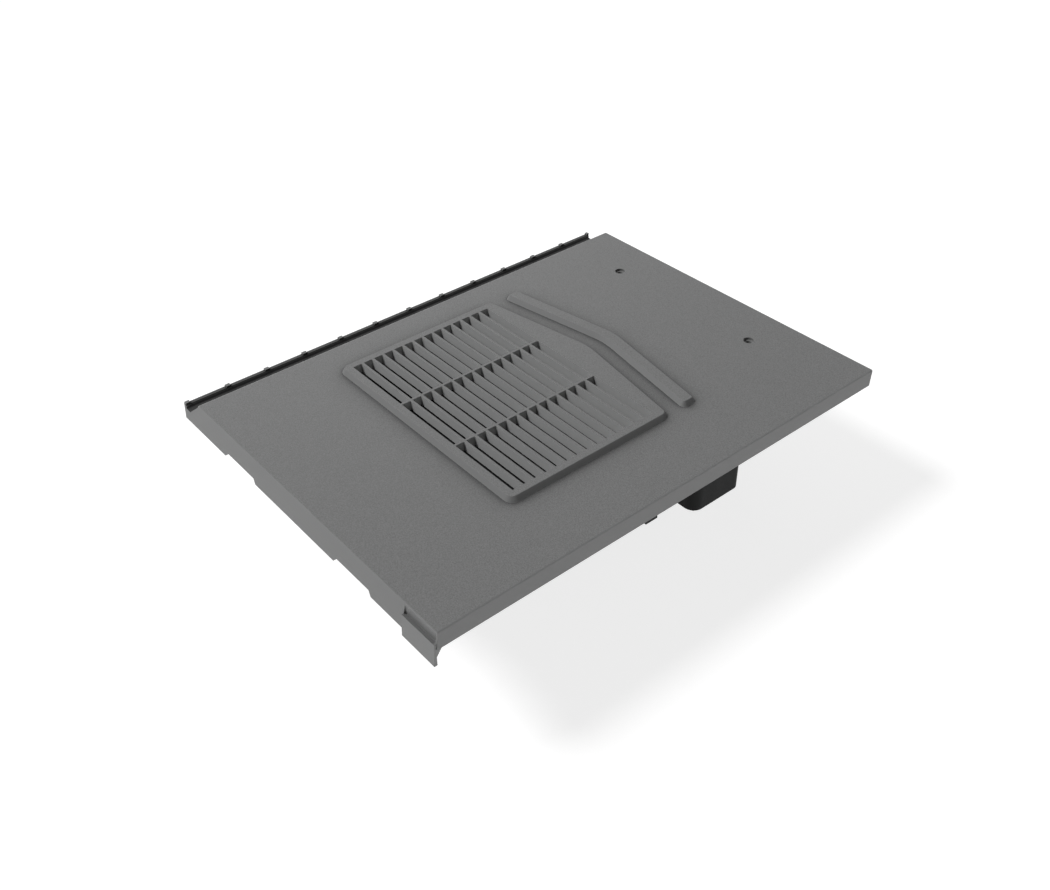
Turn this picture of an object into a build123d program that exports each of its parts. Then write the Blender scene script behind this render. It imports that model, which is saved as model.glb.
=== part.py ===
from build123d import *
import os
from math import radians, tan

os.makedirs("parts", exist_ok=True)

# A flat interlocking roof tile vent, in millimetres. The origin is midway between the two nail holes,
# on the plane where the tile rests on its batten. +X runs across the roof to the right, +Y up the roof
# and +Z out of the roof. Depths are measured down from the tile's flat top face.

# Tile plan
tile_length = 420.0
top_width = 303.8
nail_to_head = 40.0
nail_to_left = 137.3
plate_thickness = 3.0
wall_thickness = 3.0
edge_round = 1.2

# Overlock wall on the right
side_depth = 11.4
side_flare = 2.2
head_rake = 4.5

# Tail fascia, leaning forward, with two shallow notches in its lower edge
fascia_depth = 18.5
fascia_lean = 5.0
fascia_left_slope = 4.6
notch_width = 44.0
notch_rise = 3.3
notch_slope = 3.2
notch_spacing = 147.5
notch_shift = 3.7

# Weather hook at the right end of the fascia, with a groove behind its top edge
hook_width = 34.2
hook_overhang = 1.2
hook_top = 7.6
hook_drop = 25.6
hook_plate = 2.4
hook_top_lean = 4.0
hook_foot_lean = 5.25
groove_depth = 9.2
groove_back_lean = 0.5
groove_side_gap = 0.6

# Underlock channel on the left: a ramp down from the top face, a narrow floor and an upstand
channel_width = 19.0
channel_depth = 11.2
channel_floor = 2.6
ramp_run = 11.4
ramp_top = 1.6
ramp_wall_run = 4.0
upstand_thickness = 3.15
upstand_top = 8.9
upstand_draft = 1.6

# Nubs along the upstand
nub_count = 13
nub_length = 4.0
nub_height = 1.4
head_nub_length = 5.5

# Nail holes
nail_spacing = 150.0
nail_hole_diameter = 5.0
nail_head_diameter = 8.6
nail_head_depth = 2.2
nail_boss_diameter = 14.0

# Raised grille pad with a gabled head side
raised_height = 4.0
raised_draft = 30.0
pad_half_width = 106.2
pad_tail_to_front = 105.5
pad_tail_to_apex = 275.2
gable_slope = 9.4
pad_corner_radius = 7.0
pad_apex_radius = 60.0

# Louvres
louvre_columns = 3
louvre_rows = 14
louvre_width = 64.0
louvre_gap = 7.65
slat_thickness = 2.04
bar_width = 2.0
slat_depth = 8.0
tail_to_louvres = 114.1
pocket_skin = 3.0

# Chevron rib that sheds water round the pad
rib_tail_to_apex = 303.9
rib_band = 13.9
rib_half_width = 105.5
rib_corner_radius = 4.0
rib_apex_radius = 60.0

# Duct box under the tile, and the collar that it clips round
box_half_width = 104.8
box_wall = 2.5
box_tail_to_front = 106.0
box_tail_to_rear = 354.0
box_front_depth = 42.0
box_floor_depth = 88.0
box_tail_to_knee = 226.0
spigot_tail_to_front = 297.0
spigot_depth = 119.0
spigot_front_radius = 10.0
box_corner_radius = 8.0
box_seat_gap = 0.3
collar_wall = 2.4
collar_depth = 15.0
collar_fit = 0.3
clip_count = 3
clip_pitch = 78.0
clip_width = 14.0
clip_height = 3.0
clip_reach = 1.6
clip_depth = 10.0
clip_play = 0.5
lug_tail_to_centre = 247.5
lug_length = 12.5
lug_thickness = 3.0
lug_depth = 98.0

# Stiffening ribs and hanging nibs on the underside
stiffener_thickness = 2.0
stiffener_depth = 6.0
stiffener_clearance = 1.0
cross_stiffener_count = 9
long_stiffener_count = 6
overlap_width = 13.0
nib_width = 34.0
nib_length = 8.0
nib_depth = 26.0
nib_draft = 3.0
nib_head_gap = 14.0
nib_spacing = 150.0

# Places worked out from the sizes above
head_y = nail_to_head
tail_y = head_y - tile_length
left_x = -nail_to_left
right_x = left_x + top_width
channel_left_x = left_x - channel_width - upstand_thickness
side_right_x = right_x + side_flare
whole_width = side_right_x - channel_left_x
hook_left_x = right_x + hook_overhang - hook_width
groove_width = right_x - groove_side_gap - hook_left_x
groove_back_y = tail_y - groove_back_lean
channel_bottom = channel_depth + channel_floor
top_z = channel_bottom
ramp_foot_x = left_x - ramp_run
gable_tan = tan(radians(gable_slope))
louvre_pitch = louvre_gap + slat_thickness
louvre_length = louvre_rows * louvre_pitch - slat_thickness
louvre_field = louvre_columns * (louvre_width + bar_width) - bar_width
louvre_front_y = tail_y + tail_to_louvres
louvre_mid_y = louvre_front_y + louvre_length / 2
pad_front_y = tail_y + pad_tail_to_front
pad_apex_y = tail_y + pad_tail_to_apex
pad_shoulder_y = pad_apex_y - pad_half_width * gable_tan
rib_apex_y = tail_y + rib_tail_to_apex
rib_end_y = rib_apex_y - rib_half_width * gable_tan
box_front_y = tail_y + box_tail_to_front
box_rear_y = tail_y + box_tail_to_rear
box_mid_y = (box_front_y + box_rear_y) / 2
box_length = box_rear_y - box_front_y
knee_y = tail_y + box_tail_to_knee
spigot_front_y = tail_y + spigot_tail_to_front
collar_half_width = box_half_width - box_wall - collar_fit
collar_length = box_length - 2 * (box_wall + collar_fit)
collar_corner_radius = box_corner_radius - box_wall - collar_fit
clip_places = [box_mid_y + (i - (clip_count - 1) / 2) * clip_pitch for i in range(clip_count)]
stiffened_width = top_width - overlap_width
stiffened_mid_x = left_x + stiffened_width / 2
stiffened_length = tile_length - 2 * wall_thickness - head_rake
stiffened_mid_y = tail_y + wall_thickness + stiffened_length / 2
cross_stiffener_pitch = (stiffened_length - stiffener_thickness) / (cross_stiffener_count - 1)
long_stiffener_pitch = stiffened_width / (long_stiffener_count + 1)


def fascia_y(depth):
    """Front face of the leaning fascia at a depth below the top face."""
    return tail_y - depth * fascia_lean / fascia_depth


def ramp_underside_x(depth):
    """Underside of the channel's ramp at a depth below the top face."""
    return left_x + ramp_wall_run - (depth - ramp_top) * ramp_run / (channel_depth - ramp_top)


def level(depth):
    """Flat plane at a depth below the top face."""
    return Plane.XY.offset(top_z - depth)


def across(y):
    """Upright plane across the roof, facing the tail, with its heights taken from the top face."""
    return Plane(origin=(0, y, top_z), x_dir=(1, 0, 0), z_dir=(0, -1, 0))


def along(x):
    """Upright plane along the roof, facing right, with its heights taken from the top face."""
    return Plane(origin=(x, 0, top_z), x_dir=(0, 1, 0), z_dir=(1, 0, 0))


with BuildPart() as tile_body:
    # Channel, plate and overlock wall, as one section along the roof
    with BuildSketch(across(head_y)) as body_section:
        with BuildLine():
            Polyline(
                (left_x, 0),
                (left_x, -ramp_top),
                (ramp_foot_x, -channel_depth),
                (left_x - channel_width + upstand_draft, -channel_depth),
                (left_x - channel_width, -upstand_top),
                (channel_left_x, -upstand_top),
                (channel_left_x + upstand_draft, -channel_bottom),
                (ramp_underside_x(channel_bottom), -channel_bottom),
                (ramp_underside_x(plate_thickness), -plate_thickness),
                (right_x - wall_thickness, -plate_thickness),
                (side_right_x - wall_thickness, -side_depth),
                (side_right_x, -side_depth),
                (right_x, 0),
                close=True,
            )
        make_face()
    extrude(amount=tile_length + fascia_lean)

    # Leaning fascia from the channel to the hook, drawn as a section and then cut to its outline
    with BuildSketch(along(channel_left_x)) as fascia_section:
        with BuildLine():
            Polyline(
                (fascia_y(0), 0),
                (fascia_y(fascia_depth), -fascia_depth),
                (fascia_y(fascia_depth) + wall_thickness, -fascia_depth),
                (fascia_y(plate_thickness) + wall_thickness, -plate_thickness),
                (fascia_y(0) + wall_thickness, 0),
                close=True,
            )
        make_face()
    extrude(amount=hook_left_x - channel_left_x)

    # Open trough above the channel, through the fascia
    with BuildSketch(across(head_y)) as trough:
        with BuildLine():
            Polyline(
                (left_x, raised_height),
                (left_x, -ramp_top),
                (ramp_foot_x, -channel_depth),
                (left_x - channel_width + upstand_draft, -channel_depth),
                (left_x - channel_width, -upstand_top),
                (channel_left_x, -upstand_top),
                (channel_left_x, raised_height),
                close=True,
            )
        make_face()
    extrude(amount=tile_length + fascia_lean, mode=Mode.SUBTRACT)

    # Nubs along the top of the upstand, evenly from tail to head, the last one long
    nub_x = left_x - channel_width - upstand_thickness / 2
    nub_mid_y = (fascia_y(upstand_top) + head_y) / 2
    nub_pitch = (head_y - fascia_y(upstand_top) - nub_length) / (nub_count - 1)
    with BuildSketch(level(upstand_top)) as nubs:
        with Locations((nub_x, nub_mid_y)):
            with GridLocations(upstand_thickness, nub_pitch, 1, nub_count):
                Rectangle(upstand_thickness, nub_length)
        with Locations((nub_x, head_y - head_nub_length / 2)):
            Rectangle(upstand_thickness, head_nub_length)
    extrude(amount=nub_height)

    # Everything in front of the fascia's face is trimmed away
    with BuildSketch(along(channel_left_x)) as front_trim:
        with BuildLine():
            Polyline(
                (fascia_y(0), 0),
                (fascia_y(2 * fascia_depth), -2 * fascia_depth),
                (fascia_y(4 * fascia_depth), -2 * fascia_depth),
                (fascia_y(4 * fascia_depth), 0),
                close=True,
            )
        make_face()
    extrude(amount=whole_width, mode=Mode.SUBTRACT)

    # The head edge is raked back below the top face
    with BuildSketch(along(channel_left_x)) as head_trim:
        with BuildLine():
            Polyline(
                (head_y, 0),
                (head_y, -channel_bottom),
                (head_y - head_rake * channel_bottom / side_depth, -channel_bottom),
                close=True,
            )
        make_face()
    extrude(amount=whole_width, mode=Mode.SUBTRACT)

    # The fascia's left end slopes in below the upstand
    with BuildSketch(across(tail_y + wall_thickness)) as fascia_left_trim:
        with BuildLine():
            Polyline(
                (channel_left_x, -upstand_top),
                (channel_left_x + fascia_left_slope, -fascia_depth),
                (channel_left_x, -fascia_depth),
                close=True,
            )
        make_face()
    extrude(amount=wall_thickness + fascia_lean, mode=Mode.SUBTRACT)

    # Soft edges along the overlock side and the channel side of the top face
    top_edges = tile_body.faces().sort_by(Axis.Z)[-1].edges()
    fillet([top_edges.sort_by(Axis.X)[0], top_edges.sort_by(Axis.X)[-1]], radius=edge_round)

    # Notches in the fascia's lower edge
    with BuildSketch(across(tail_y + wall_thickness)) as notches:
        with Locations((notch_shift, -fascia_depth)):
            with GridLocations(notch_spacing, notch_rise, 2, 1):
                Polygon(
                    (-notch_width / 2, -notch_rise),
                    (notch_width / 2, -notch_rise),
                    (notch_width / 2, 0),
                    (notch_width / 2 - notch_slope, notch_rise),
                    (-notch_width / 2 + notch_slope, notch_rise),
                    (-notch_width / 2, 0),
                    align=None,
                )
    extrude(amount=2 * wall_thickness + fascia_lean, mode=Mode.SUBTRACT)

    # Weather hook: a plate that leans forward a little, carried by a wall behind its top edge
    with BuildSketch(along(hook_left_x)) as hook_section:
        with BuildLine():
            Polyline(
                (tail_y - hook_top_lean, -hook_top),
                (tail_y - hook_foot_lean, -hook_drop),
                (tail_y - hook_foot_lean + hook_plate, -hook_drop),
                (tail_y - hook_foot_lean + hook_plate, -fascia_depth),
                (groove_back_y + hook_plate, -groove_depth - hook_plate),
                (groove_back_y + hook_plate, -hook_top),
                close=True,
            )
        make_face()
    extrude(amount=hook_width)
    with BuildSketch(along(hook_left_x)) as groove_wall:
        with BuildLine():
            Polyline(
                (groove_back_y, -plate_thickness),
                (groove_back_y, -hook_top),
                (groove_back_y + hook_plate, -hook_top),
                (groove_back_y + hook_plate, -plate_thickness),
                close=True,
            )
        make_face()
    extrude(amount=groove_width)

    # Groove between the hook's top edge and the wall behind it
    with BuildSketch(along(hook_left_x)) as groove:
        with BuildLine():
            Polyline(
                (groove_back_y, 0),
                (groove_back_y, -groove_depth),
                (tail_y - hook_top_lean, -hook_top),
                (tail_y - 2 * hook_foot_lean, -hook_top),
                (tail_y - 2 * hook_foot_lean, 0),
                close=True,
            )
        make_face()
    extrude(amount=groove_width, mode=Mode.SUBTRACT)

    # Grille pad: a gabled outline drawn in at the draft angle
    with BuildSketch(level(0)) as pad_outline:
        with BuildLine():
            Polyline(
                (-pad_half_width, pad_front_y),
                (pad_half_width, pad_front_y),
                (pad_half_width, pad_shoulder_y),
                (0, pad_apex_y),
                (-pad_half_width, pad_shoulder_y),
                close=True,
            )
        make_face()
        fillet(pad_outline.vertices().sort_by(Axis.Y)[-1], radius=pad_apex_radius)
        pad_corners = pad_outline.vertices().sort_by(Axis.X)
        fillet(pad_corners[:2] + pad_corners[-2:], radius=pad_corner_radius)
    extrude(amount=raised_height, taper=raised_draft)

    # Chevron rib: a band between two gable lines, drawn in at the same draft
    with BuildSketch(level(0)) as rib_outline:
        with BuildLine():
            Polyline(
                (0, rib_apex_y),
                (-rib_half_width, rib_end_y),
                (-rib_half_width, rib_end_y - rib_band),
                (0, rib_apex_y - rib_band),
                (rib_half_width, rib_end_y - rib_band),
                (rib_half_width, rib_end_y),
                close=True,
            )
        make_face()
        fillet(rib_outline.vertices().sort_by(Axis.X)[2:4], radius=rib_apex_radius)
        rib_corners = rib_outline.vertices().sort_by(Axis.X)
        fillet(rib_corners[:2] + rib_corners[-2:], radius=rib_corner_radius)
    extrude(amount=raised_height, taper=raised_draft)

    # Deeper panel for the slats, and a pocket under the gable that keeps its skin even
    panel_length = louvre_length + 2 * bar_width
    panel_rear_y = louvre_mid_y + panel_length / 2
    pocket_apex_y = pad_apex_y - raised_height * tan(radians(raised_draft)) - pocket_skin
    pocket_shoulder_y = pocket_apex_y - louvre_field / 2 * gable_tan
    with BuildSketch(level(slat_depth - raised_height)) as slat_panel:
        with Locations((0, louvre_mid_y)):
            Rectangle(louvre_field + 2 * bar_width, panel_length)
    extrude(amount=slat_depth - raised_height)
    with BuildSketch(level(plate_thickness)) as gable_pocket:
        with BuildLine():
            Polyline(
                (-louvre_field / 2, panel_rear_y),
                (louvre_field / 2, panel_rear_y),
                (louvre_field / 2, pocket_shoulder_y),
                (0, pocket_apex_y),
                (-louvre_field / 2, pocket_shoulder_y),
                close=True,
            )
        make_face()
    extrude(amount=plate_thickness + raised_height - pocket_skin, mode=Mode.SUBTRACT)

    # Louvre openings, in columns between the bars
    with BuildSketch(level(-raised_height)) as louvres:
        with Locations((0, louvre_mid_y)):
            with GridLocations(louvre_width + bar_width, louvre_pitch, louvre_columns, louvre_rows):
                Rectangle(louvre_width, louvre_gap)
    extrude(amount=-slat_depth, mode=Mode.SUBTRACT)

    # Collar that stands inside the duct box's rim, with clip ramps on its long sides
    with BuildSketch(level(plate_thickness)) as collar:
        with Locations((0, box_mid_y)):
            RectangleRounded(2 * collar_half_width, collar_length, collar_corner_radius)
            RectangleRounded(
                2 * (collar_half_width - collar_wall),
                collar_length - 2 * collar_wall,
                collar_corner_radius - collar_wall,
                mode=Mode.SUBTRACT,
            )
    extrude(amount=-(collar_depth - plate_thickness))
    for clip_y in clip_places:
        with BuildSketch(across(clip_y)) as clip_ramps:
            Polygon(
                (-collar_half_width - clip_reach, -clip_depth),
                (-collar_half_width, -clip_depth - clip_height),
                (-collar_half_width, -clip_depth),
                align=None,
            )
            mirror(about=Plane.YZ)
        extrude(amount=clip_width / 2, both=True)

    # Stiffening ribs on the underside, kept clear of the duct box
    with BuildSketch(level(plate_thickness)) as stiffeners:
        with Locations((stiffened_mid_x, stiffened_mid_y)):
            with GridLocations(stiffened_width, cross_stiffener_pitch, 1, cross_stiffener_count):
                Rectangle(stiffened_width, stiffener_thickness)
            with GridLocations(long_stiffener_pitch, stiffened_length, long_stiffener_count, 1):
                Rectangle(stiffener_thickness, stiffened_length)
        with Locations((0, box_mid_y)):
            Rectangle(
                2 * (box_half_width + stiffener_clearance),
                box_length + 2 * stiffener_clearance,
                mode=Mode.SUBTRACT,
            )
    extrude(amount=-stiffener_depth)

    # Hanging nibs that hook over the batten
    with BuildSketch(level(plate_thickness)) as nibs:
        with Locations((0, head_y - nib_head_gap - nib_length / 2)):
            with GridLocations(nib_spacing, nib_length, 2, 1):
                Rectangle(nib_width, nib_length)
    extrude(amount=-(nib_depth - plate_thickness), taper=nib_draft)

    # Nail bosses, level with the channel's underside, and nail holes with a recess for the nail's head
    with BuildSketch(level(plate_thickness)) as nail_bosses:
        with GridLocations(nail_spacing, nail_boss_diameter, 2, 1):
            Circle(nail_boss_diameter / 2)
    extrude(amount=-(channel_bottom - plate_thickness))
    with Locations((0, 0, top_z)):
        with GridLocations(nail_spacing, nail_boss_diameter, 2, 1):
            CounterBoreHole(
                radius=nail_hole_diameter / 2,
                counter_bore_radius=nail_head_diameter / 2,
                counter_bore_depth=nail_head_depth,
            )

tile_body.part.label = "tile_body"
export_step(tile_body.part, "parts/tile_body.step")


with BuildPart() as duct_box:
    # Hopper: steep at the tail side, flat in front of the spigot, upright at the rear
    rim_depth = plate_thickness + box_seat_gap
    with BuildSketch(along(0)) as hopper_section:
        with BuildLine():
            Polyline(
                (box_front_y, -rim_depth),
                (box_front_y, -box_front_depth),
                (knee_y, -box_floor_depth),
                (box_rear_y, -box_floor_depth),
                (box_rear_y, -rim_depth),
                close=True,
            )
        make_face()
    extrude(amount=box_half_width, both=True)

    # Flat duct spigot, flush with the hopper's rear wall and sides
    with BuildSketch(level(box_floor_depth)) as spigot_outline:
        with Locations((0, (spigot_front_y + box_rear_y) / 2)):
            Rectangle(2 * box_half_width, box_rear_y - spigot_front_y)
        fillet(spigot_outline.vertices().group_by(Axis.Y)[0], radius=spigot_front_radius)
    extrude(amount=-(spigot_depth - box_floor_depth))
    upright_edges = duct_box.edges().filter_by(Axis.Z).group_by(Axis.Y)
    fillet(upright_edges[0] + upright_edges[-1], radius=box_corner_radius)

    # Even wall, open at the rim and at the end of the spigot
    end_faces = duct_box.faces().sort_by(Axis.Z)
    offset(amount=-box_wall, openings=[end_faces[0], end_faces[-1]], kind=Kind.INTERSECTION)

    # Windows that the collar's clip ramps snap into
    with BuildSketch(along(0)) as clip_windows:
        with Locations(*[(clip_y, -clip_depth - clip_height / 2) for clip_y in clip_places]):
            Rectangle(clip_width + 2 * clip_play, clip_height + 2 * clip_play)
    extrude(amount=box_half_width, both=True, mode=Mode.SUBTRACT)

    # Locating lugs under the hopper's side walls
    with BuildSketch(level(box_floor_depth - box_wall)) as lugs:
        with Locations((0, tail_y + lug_tail_to_centre)):
            with GridLocations(2 * box_half_width - lug_thickness, lug_length, 2, 1):
                Rectangle(lug_thickness, lug_length)
    extrude(amount=-(lug_depth - box_floor_depth + box_wall))

duct_box.part.label = "duct_box"
export_step(duct_box.part, "parts/duct_box.step")
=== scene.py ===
import bpy
from math import radians, sin, cos, pi
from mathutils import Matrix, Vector


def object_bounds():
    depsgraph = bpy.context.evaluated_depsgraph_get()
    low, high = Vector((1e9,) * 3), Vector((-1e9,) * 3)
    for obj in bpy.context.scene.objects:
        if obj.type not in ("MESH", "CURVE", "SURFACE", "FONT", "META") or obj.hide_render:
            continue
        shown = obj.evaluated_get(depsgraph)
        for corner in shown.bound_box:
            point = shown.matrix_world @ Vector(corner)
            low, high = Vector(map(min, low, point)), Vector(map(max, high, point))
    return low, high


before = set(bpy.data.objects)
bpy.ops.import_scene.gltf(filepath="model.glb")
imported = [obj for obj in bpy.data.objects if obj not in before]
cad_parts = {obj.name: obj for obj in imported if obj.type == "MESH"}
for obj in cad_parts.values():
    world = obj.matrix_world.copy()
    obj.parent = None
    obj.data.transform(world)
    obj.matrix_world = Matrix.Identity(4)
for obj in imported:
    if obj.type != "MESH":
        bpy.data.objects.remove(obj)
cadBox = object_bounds()
print("frame loaded, CAD box", [tuple(round(v, 4) for v in corner) for corner in cadBox])

photoView = {
    "place": (0.563235, -0.635063, 0.521007),  # metres, in the tile's own frame
    "turn": (51.949, 0.814, 50.066),  # degrees
    "lens": 39.333,  # mm, on the sensor below
    "sensor": 36.0,
    "nearest": 0.01,  # metres
}


def makeCamera():
    lensData = bpy.data.cameras.new("photoCamera")
    lensData.sensor_width = photoView["sensor"]
    lensData.lens = photoView["lens"]
    lensData.clip_start = photoView["nearest"]
    camera = bpy.data.objects.new("photoCamera", lensData)
    camera.location = photoView["place"]
    camera.rotation_euler = [radians(angle) for angle in photoView["turn"]]
    bpy.context.scene.collection.objects.link(camera)
    bpy.context.scene.camera = camera


makeCamera()
print("camera placed")


# Material tools. Every pattern runs on Object coordinates, so it stays put on the piece.

noiseShape = {
    "roughness": 0.6,
    "lowest": 0.3,  # nearly all of the pattern lies from here
    "highest": 0.7,  # to here
}


def newMaterial(name):
    material = bpy.data.materials.new(name)
    material.use_nodes = True
    tree = material.node_tree
    return material, tree, tree.nodes["Principled BSDF"]


def addNode(tree, kind, links=(), **settings):  # links: (socket, another node's output or a plain value)
    node = tree.nodes.new(kind)
    for name, value in settings.items():
        setattr(node, name, value)
    for socket, source in links:
        if isinstance(source, bpy.types.NodeSocket):
            tree.links.new(source, node.inputs[socket])
        else:
            node.inputs[socket].default_value = source
    return node


def maths(tree, operation, *values):
    return addNode(tree, "ShaderNodeMath", list(enumerate(values)), operation=operation).outputs[0]


def product(tree, first, *others):
    result = first
    for other in others:
        result = maths(tree, "MULTIPLY", result, other)
    return result


def within(tree, value, middle, half):  # 1 where the value lies in the span, 0 elsewhere
    return maths(tree, "COMPARE", value, middle, half)


def inOblong(tree, x, y, middle, half):  # 1 over an oblong seen from above, 0 elsewhere
    return product(tree, within(tree, x, middle[0], half[0]), within(tree, y, middle[1], half[1]))


def remap(tree, value, low, high, newLow, newHigh):
    links = (("Value", value), ("From Min", low), ("From Max", high), ("To Min", newLow), ("To Max", newHigh))
    return addNode(tree, "ShaderNodeMapRange", links, clamp=True).outputs["Result"]


def choose(tree, mask, outside, inside):  # one value where the mask is 0, the other where it is 1
    return remap(tree, mask, 0, 1, outside, inside)


def noise(tree, place, scale, detail, low, high):  # spread evenly from low to high
    links = (("Vector", place), ("Scale", scale), ("Detail", detail), ("Roughness", noiseShape["roughness"]))
    pattern = addNode(tree, "ShaderNodeTexNoise", links).outputs["Fac"]
    return remap(tree, pattern, noiseShape["lowest"], noiseShape["highest"], low, high)


def tinted(tree, colour, factor):  # a colour times a grey factor that varies over the surface
    links = ((0, colour), ("Scale", factor))
    return addNode(tree, "ShaderNodeVectorMath", links, operation="SCALE").outputs[0]


def addRelief(tree, shader, height, depth, edge, samples):  # softened edges, and a fine bump over them
    softEdges = addNode(tree, "ShaderNodeBevel", (("Radius", edge),), samples=samples).outputs["Normal"]
    bump = addNode(tree, "ShaderNodeBump", (("Height", height), ("Distance", depth), ("Normal", softEdges)))
    tree.links.new(bump.outputs["Normal"], shader.inputs["Normal"])


def dress(node, material):
    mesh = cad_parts[node].data
    mesh.materials.clear()
    mesh.materials.append(material)


tileFinish = {
    # Tones: the colour, and what each place multiplies it by
    "colour": (0.190, 0.1915, 0.1912),  # smooth moulded faces
    "slatLightTone": 1.98,  # painted light: the slats are made much lighter
    "slatRimLight": 0.15,  # share of that on their level rims
    "slotSideLight": 1.5,  # and on the side walls of the slots
    "zoneTones": {
        "edgeHighlight": 1.65,  # painted highlight along the plate's edge over the channel
        "rimShade": 0.36,  # painted shade on the upstand's top
        "gutterShade": 0.14,  # and painted shade, darkest, in the bottom of the channel
    },
    # Texture of the flat faces
    "grainScale": 1250.0,  # grains a metre
    "grainDetail": 2.0,
    "grainTone": 0.25,
    "grainHeight": 0.00003,  # metres
    "mottleScale": 85.0,  # patches a metre
    "mottleDetail": 3.0,
    "mottleTone": 0.012,
    # Shine
    "specular": 0.35,
    "roughness": 0.52,
    "flatRoughness": 0.66,
    "dirtRoughness": 0.25,  # added in the channel
    "grainRoughness": 0.25,  # share of the grain that shows in the roughness
    # Edges, softened with these radii in metres
    "edge": 0.00035,
    "slatEdge": 0.00006,
    "edgeSamples": 4,
    # Painted shade in the corners
    "cornerShadeReach": 0.026,  # how far the painted shade reaches from a corner
    "cornerShadePower": 5.0,  # on the flat faces
    "cornerShadeFrom": -0.132,  # none of that beside the channel, up to here
    "cornerShadeTo": -0.115,  # and all of it from here on
    "channelShadePower": 3.0,
    "cornerShadeSamples": 8,
    # Places, in metres from the tile's origin
    "topHeight": (0.0128, 0.0133),  # the flat faces fade in over this height, just below the plate's top
    "slatsMiddle": (0.0, -0.1991),
    "slatsHalf": (0.0985, 0.0673),
    "channelEdge": -0.1373,
    "gutterMiddle": -0.1467,
    "gutterHalf": 0.0088,
    "edgeHighlightMiddle": -0.13675,
    "edgeHighlightHalf": 0.00065,
    "edgeHighlightHeight": 0.0125,
    "rimEdge": -0.156,
    "rimHeight": 0.0049,
    "rimHalf": 0.0005,
    # Slopes: how far a face's normal points up, sideways or to the head, as a share of 1
    "flatSlope": (0.97, 0.995),
    "slatRimSlope": (0.85, 0.95),
    "slotSideSlope": (0.6, 0.9),
    "gutterSlope": (0.2, 0.4),
    "tailSlope": (-0.6, -0.3),
}


def tileZones(tree, coordinates):  # masks, 0 where a finish, painted light or painted shade doesn't lie and about 1 where it does
    settings = tileFinish
    x, y, z = addNode(tree, "ShaderNodeSeparateXYZ", (("Vector", coordinates["Object"]),)).outputs
    facing = addNode(tree, "ShaderNodeSeparateXYZ", (("Vector", coordinates["Normal"]),)).outputs
    upward = facing["Z"]
    flat = product(
        tree,
        remap(tree, upward, *settings["flatSlope"], 0, 1),
        remap(tree, z, *settings["topHeight"], 0, 1),
    )
    grille = inOblong(tree, x, y, settings["slatsMiddle"], settings["slatsHalf"])
    notFlat = maths(tree, "SUBTRACT", 1.0, flat)
    sideways = maths(tree, "ABSOLUTE", facing["X"])
    rimShare = remap(tree, upward, *settings["slatRimSlope"], 1, settings["slatRimLight"])
    sideShare = remap(tree, sideways, *settings["slotSideSlope"], 1, settings["slotSideLight"])
    notTail = remap(tree, facing["Y"], *settings["tailSlope"], 0, 1)  # the fascia's end gets no painted shade
    inGutter = within(tree, x, settings["gutterMiddle"], settings["gutterHalf"])
    inEdgeHighlight = within(tree, x, settings["edgeHighlightMiddle"], settings["edgeHighlightHalf"])
    return {
        "flat": flat,
        "grille": grille,
        # painted light on the slats and the side walls of their slots
        "slats": product(tree, grille, product(tree, notFlat, rimShare, sideShare)),
        "channel": product(tree, maths(tree, "LESS_THAN", x, settings["channelEdge"]), notTail),
        # painted shade in the bottom of the channel
        "gutterShade": product(tree, inGutter, notTail, remap(tree, upward, *settings["gutterSlope"], 0, 1)),
        # painted highlight along the channel's edge
        "edgeHighlight": product(tree, inEdgeHighlight, maths(tree, "GREATER_THAN", z, settings["edgeHighlightHeight"])),
        # painted shade on the upstand's top
        "rimShade": product(
            tree,
            maths(tree, "LESS_THAN", x, settings["rimEdge"]),
            within(tree, z, settings["rimHeight"], settings["rimHalf"]),
        ),
        # where the painted corner shade lies
        "cornerShaded": remap(tree, x, settings["cornerShadeFrom"], settings["cornerShadeTo"], 0, 1),
    }


def tileCornerShade(tree, zones):  # painted shade: darkens the corners and the channel
    settings = tileFinish
    reach, samples = (("Distance", settings["cornerShadeReach"]),), settings["cornerShadeSamples"]
    corners = addNode(tree, "ShaderNodeAmbientOcclusion", reach, samples=samples).outputs["AO"]
    flatPower = product(tree, zones["flat"], zones["cornerShaded"], settings["cornerShadePower"])
    channelShadePower = product(tree, zones["channel"], settings["channelShadePower"])
    return maths(tree, "POWER", corners, maths(tree, "ADD", flatPower, channelShadePower))


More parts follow.
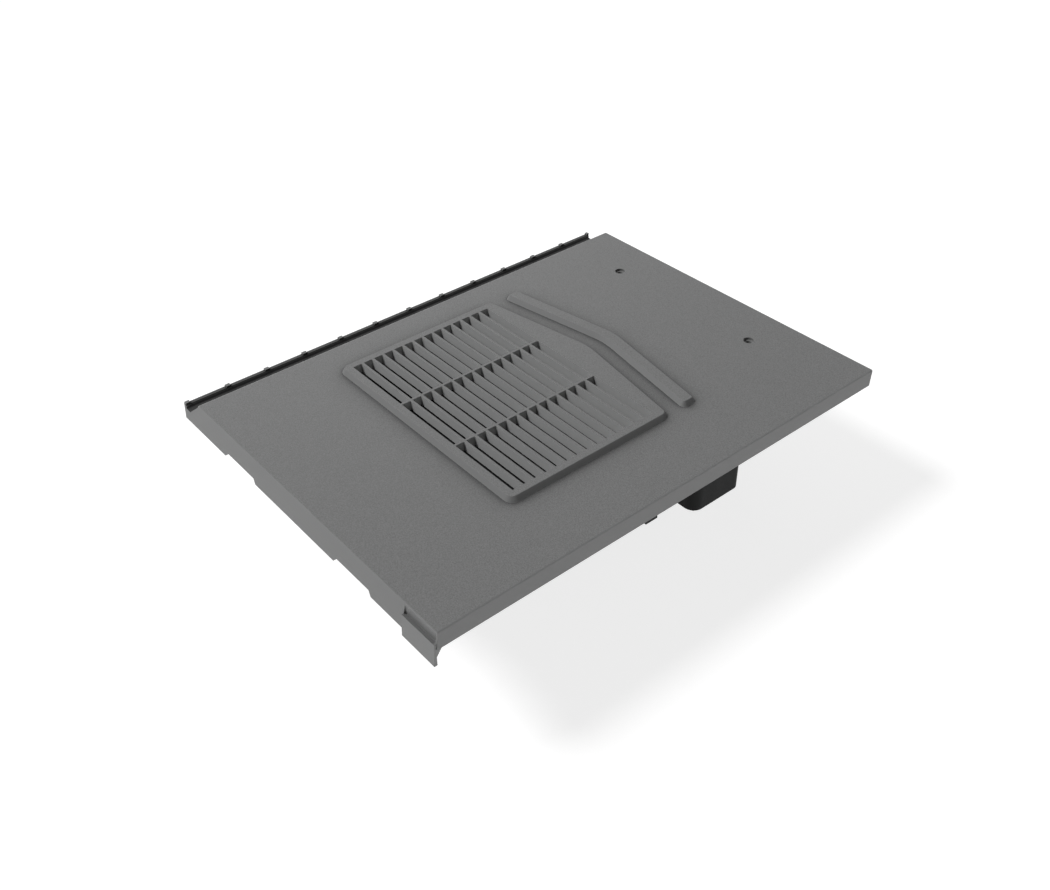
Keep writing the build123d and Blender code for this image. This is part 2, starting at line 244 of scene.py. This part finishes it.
def tilePlastic():
    settings = tileFinish
    material, tree, shader = newMaterial("tileGrey")
    coordinates = addNode(tree, "ShaderNodeTexCoord").outputs
    place = coordinates["Object"]
    zones = tileZones(tree, coordinates)
    flat = zones["flat"]

    # Tone of each finish, with grain and mottle on the flat faces only, then painted light, painted highlight
    # and painted shade
    scale, detail = settings["grainScale"], settings["grainDetail"]
    grainTone, mottleTone = settings["grainTone"], settings["mottleTone"]
    grain = noise(tree, place, scale, detail, -grainTone, grainTone)
    mottle = noise(tree, place, settings["mottleScale"], settings["mottleDetail"], -mottleTone, mottleTone)
    tone = maths(tree, "MULTIPLY_ADD", flat, maths(tree, "ADD", grain, mottle), 1.0)
    # painted light: the slats lighter
    tone = maths(tree, "MULTIPLY_ADD", zones["slats"], settings["slatLightTone"] - 1, tone)
    # painted highlight on the channel's edge, painted shade on the upstand's top and in the channel
    for zone, zoneTone in settings["zoneTones"].items():
        tone = product(tree, tone, choose(tree, zones[zone], 1, zoneTone))
    # painted shade in the corners and the channel
    colour = tinted(tree, settings["colour"], product(tree, tone, tileCornerShade(tree, zones)))
    tree.links.new(colour, shader.inputs["Base Color"])

    # Shine, softened edges and bump
    shader.inputs["Specular IOR Level"].default_value = settings["specular"]
    rough = choose(tree, flat, settings["roughness"], settings["flatRoughness"])
    rough = maths(tree, "MULTIPLY_ADD", zones["channel"], settings["dirtRoughness"], rough)
    rough = maths(tree, "MULTIPLY_ADD", product(tree, flat, grain), settings["grainRoughness"], rough)
    tree.links.new(rough, shader.inputs["Roughness"])
    edge = choose(tree, zones["grille"], settings["edge"], settings["slatEdge"])
    height = product(tree, flat, noise(tree, place, scale, detail, 0, 1))
    addRelief(tree, shader, height, settings["grainHeight"], edge, settings["edgeSamples"])
    return material


boxFinish = {
    "colour": (0.014, 0.0145, 0.0145),
    "specular": 0.12,
    "roughness": 0.58,
    "flowStretch": (1, 1, 0.35),  # flow marks run down the walls
    "grainScale": 900.0,  # grains a metre
    "grainDetail": 2.0,
    "grainTone": 0.10,
    "grainHeight": 0.00002,  # metres
    "streakScale": 60.0,  # streaks a metre
    "streakDetail": 3.0,
    "streakTone": 0.06,
    "edge": 0.0005,  # radius in metres
    "edgeSamples": 4,
}


def boxPlastic():
    settings = boxFinish
    material, tree, shader = newMaterial("ductBlack")
    coordinates = addNode(tree, "ShaderNodeTexCoord").outputs["Object"]
    links = (("Vector", coordinates), ("Scale", settings["flowStretch"]))
    place = addNode(tree, "ShaderNodeMapping", links).outputs["Vector"]
    grainTone, streakTone = settings["grainTone"], settings["streakTone"]
    grain = noise(tree, place, settings["grainScale"], settings["grainDetail"], -grainTone, grainTone)
    streaks = noise(tree, place, settings["streakScale"], settings["streakDetail"], -streakTone, streakTone)
    tone = maths(tree, "ADD", maths(tree, "ADD", grain, streaks), 1.0)
    tree.links.new(tinted(tree, settings["colour"], tone), shader.inputs["Base Color"])
    shader.inputs["Specular IOR Level"].default_value = settings["specular"]
    tree.links.new(product(tree, tone, settings["roughness"]), shader.inputs["Roughness"])
    addRelief(tree, shader, grain, settings["grainHeight"], settings["edge"], settings["edgeSamples"])
    return material


dress("tile_body", tilePlastic())
dress("duct_box", boxPlastic())
print("materials made")


# Studio

studio = {
    "floorSize": 30.0,
    "floorColour": (0.86, 0.86, 0.86, 1.0),  # what sends light back up to the part
    "floorRoughness": 0.9,
    "floorGlow": 0.05,  # light that the bright floor sends up
    "floorSeenGlow": 0.80,  # how far the seen floor is white by itself
    "floorSeenColour": (0.40, 0.40, 0.40, 1.0),
    "skyLight": 0.05,
    "backdropGlow": 1.0,  # how white the seen sky is
    "white": (1.0, 1.0, 1.0, 1.0),
    "ductMiddle": (0.0, -0.0545),  # the floor inside the spigot, where no light reaches
    "ductHalf": (0.1023, 0.026),
    "lampDistance": 3.0,  # metres, and their light is the same from any distance
}

lamps = {
    "keyLamp": {"azimuth": -34, "height": 50, "strength": 0.70, "spread": 16},  # degrees, from the tail side
    "rightLamp": {"azimuth": 90, "height": 15, "strength": 0.035, "spread": 40},
}

softBoxes = {
    "leftBox": {  # fades towards the right
        "place": (-0.62, -0.17, 0.48),  # metres
        "aim": (0.0, -0.17, 0.0),
        "size": (1.3, 0.35),
        "watts": 2.1,
    },
    "lowStrip": {  # below the tile's top, and level
        "place": (0.90, -0.21, -0.055),
        "aim": (0.0, -0.17, -0.055),
        "size": (1.8, 0.085),
        "watts": 3.1,
    },
}


def seenOnly(tree):  # 1 for what is seen directly, in a reflection or through something clear
    paths = addNode(tree, "ShaderNodeLightPath").outputs
    seen = maths(tree, "MAXIMUM", paths["Is Camera Ray"], paths["Is Glossy Ray"])
    return maths(tree, "MAXIMUM", seen, paths["Is Transmission Ray"])


def showWhenSeen(tree, output, usual, seen):  # the usual one lights the part, the seen one shows
    links = (("Fac", seenOnly(tree)), (1, usual), (2, seen))
    choice = addNode(tree, "ShaderNodeMixShader", links).outputs[0]
    tree.links.new(choice, tree.nodes[output].inputs["Surface"])


def makeFloor():
    bpy.ops.mesh.primitive_plane_add(size=studio["floorSize"], location=(0, 0, cadBox[0].z))
    floor = bpy.context.object
    floor.name = "floor"
    material, tree, shader = newMaterial("paleFloor")
    shader.inputs["Base Color"].default_value = studio["floorColour"]
    shader.inputs["Roughness"].default_value = studio["floorRoughness"]
    shader.inputs["Specular IOR Level"].default_value = 0.0
    shader.inputs["Emission Color"].default_value = studio["white"]
    shader.inputs["Emission Strength"].default_value = studio["floorGlow"]
    place = addNode(tree, "ShaderNodeTexCoord").outputs["Object"]
    x, y, _ = addNode(tree, "ShaderNodeSeparateXYZ", (("Vector", place),)).outputs
    inDuct = inOblong(tree, x, y, studio["ductMiddle"], studio["ductHalf"])
    strength = choose(tree, inDuct, studio["floorSeenGlow"], 0)
    glow = addNode(tree, "ShaderNodeEmission", (("Strength", strength),)).outputs[0]
    shade = addNode(tree, "ShaderNodeBsdfDiffuse", (("Color", studio["floorSeenColour"]),)).outputs[0]
    seen = addNode(tree, "ShaderNodeAddShader", ((0, glow), (1, shade))).outputs[0]
    showWhenSeen(tree, "Material Output", shader.outputs[0], seen)
    floor.data.materials.append(material)


def placeLight(name, light, place, direction):
    holder = bpy.data.objects.new(name, light)
    holder.location = place
    holder.rotation_euler = direction.to_track_quat("Z", "Y").to_euler()
    bpy.context.scene.collection.objects.link(holder)
    return holder


def makeLamp(name, lamp):
    light = bpy.data.lights.new(name, "SUN")
    light.energy = lamp["strength"] * pi
    light.angle = radians(lamp["spread"])
    azimuth, height = radians(lamp["azimuth"]), radians(lamp["height"])
    direction = Vector((sin(azimuth) * cos(height), -cos(azimuth) * cos(height), sin(height)))
    placeLight(name, light, direction * studio["lampDistance"], direction)


def makeSoftBox(name, box):
    light = bpy.data.lights.new(name, "AREA")
    light.shape = "RECTANGLE"
    light.size, light.size_y = box["size"]
    light.energy = box["watts"]
    holder = placeLight(name, light, box["place"], Vector(box["place"]) - Vector(box["aim"]))
    holder.visible_camera = False


def makeWorld():
    world = bpy.data.worlds.new("studioSky")
    bpy.context.scene.world = world
    world.use_nodes = True
    tree = world.node_tree
    sky = tree.nodes["Background"]
    sky.inputs["Color"].default_value = studio["white"]
    sky.inputs["Strength"].default_value = studio["skyLight"]
    glow = studio["backdropGlow"]
    backdrop = addNode(tree, "ShaderNodeBackground", (("Color", studio["white"]), ("Strength", glow)))
    showWhenSeen(tree, "World Output", sky.outputs[0], backdrop.outputs[0])


makeFloor()
for lampName, lampSettings in lamps.items():
    makeLamp(lampName, lampSettings)
for boxName, boxSettings in softBoxes.items():
    makeSoftBox(boxName, boxSettings)
makeWorld()
bpy.context.scene.view_settings.view_transform = "Standard"
print("studio lit")
